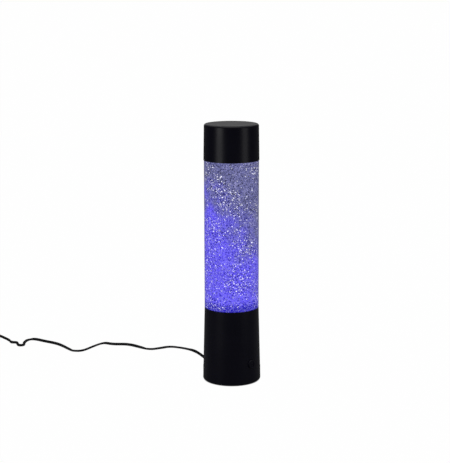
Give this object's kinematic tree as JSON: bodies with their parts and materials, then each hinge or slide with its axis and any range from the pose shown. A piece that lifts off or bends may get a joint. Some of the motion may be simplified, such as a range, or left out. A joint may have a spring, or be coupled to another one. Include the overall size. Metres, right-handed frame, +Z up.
{
  "type": "glitter lamp",
  "caption": "Upright glitter lamp: a clear bottle of glitter fluid between a black cap and a black conical base with a push button, a magnetic stirrer and a flat low-voltage lead.",
  "frame": {"origin": "under the middle of the base, on the surface that the lamp stands on", "axes": "+Z up along the lamp's axis; the front faces -Y, the push button faces 43 degrees to the front's right, and the cord leaves 24 degrees to the left of the back"},
  "size_m": [0.5077, 0.3001, 0.38],
  "materials": {
    "black_housing": "satin",
    "black_button": "satin",
    "black_plate": "matte",
    "foot_rubber": "matte",
    "zinc_steel": "satin",
    "bare_steel": "satin",
    "white_plastic": "satin",
    "board_white": "satin",
    "board_green": "satin",
    "lamp_resin": "gloss",
    "clear_plastic": "gloss",
    "glitter_fluid": "gloss",
    "ferrite": "matte",
    "magnet_plating": "polished",
    "brass_metal": "satin",
    "wire_red": "satin",
    "cord_black": "satin",
    "tie_black": "matte",
    "nickel_shell": "polished"
  },
  "bodies": {
    "lamp": {"base_shell": "black_housing", "base_plate": "black_plate", "rubber_feet": "foot_rubber", "base_plate_screws": "zinc_steel", "drive_deck": "white_plastic", "deck_screws": "zinc_steel", "lamp_board": "board_white", "light_emitters": "lamp_resin", "lamp_board_screws": "zinc_steel", "light_window": "clear_plastic", "motor_can": "zinc_steel", "motor_end_cap": "white_plastic", "motor_terminals": "brass_metal", "motor_screws": "zinc_steel", "stator_magnets": "ferrite", "bottle": "clear_plastic", "glitter_liquid": "glitter_fluid", "impeller_pin": "bare_steel", "pin_retainer": "white_plastic", "bottle_closure": "white_plastic", "closure_gasket": "foot_rubber", "push_switch": "black_plate", "control_board": "board_green", "control_chip": "black_plate", "board_sockets": "white_plastic", "motor_wires": "wire_red", "lamp_wires": "wire_red", "supply_wires": "cord_black", "cord_grommet": "cord_black", "power_cord": "cord_black", "cord_coil": "cord_black", "coil_tie": "tie_black", "plug_grip": "cord_black", "plug_shell": "nickel_shell", "plug_tongue": "white_plastic", "plug_contacts": "brass_metal"},
    "cap": {"top_cap": "black_housing"},
    "rotor": {"motor_shaft": "bare_steel", "motor_armature": "bare_steel", "magnet_carrier": "white_plastic", "drive_magnets": "magnet_plating"},
    "impeller": {"impeller": "clear_plastic", "impeller_magnets": "magnet_plating"},
    "button": {"push_button": "black_button", "switch_plunger": "white_plastic"}
  },
  "joints": [
    {"name": "cap_lift", "type": "slide", "parent": "lamp", "child": "cap", "axis": [0, 0, 1], "range_m": [0, 0.06]},
    {"name": "button_press", "type": "slide", "parent": "lamp", "child": "button", "axis": [-0.682, 0.7314, 0], "range_m": [0, 0.0015], "stiffness_N_per_m": 600},
    {"name": "motor_spin", "type": "hinge", "parent": "lamp", "child": "rotor", "pos_m": [0, 0, 0.0787], "axis": [0, 0, 1], "continuous": true},
    {"name": "impeller_spin", "type": "hinge", "parent": "lamp", "child": "impeller", "pos_m": [0, 0, 0.0943], "axis": [0, 0, 1], "continuous": true}
  ],
  "couplings": [
    {"joint": "impeller_spin", "follows": "motor_spin", "ratio": 1}
  ]
}
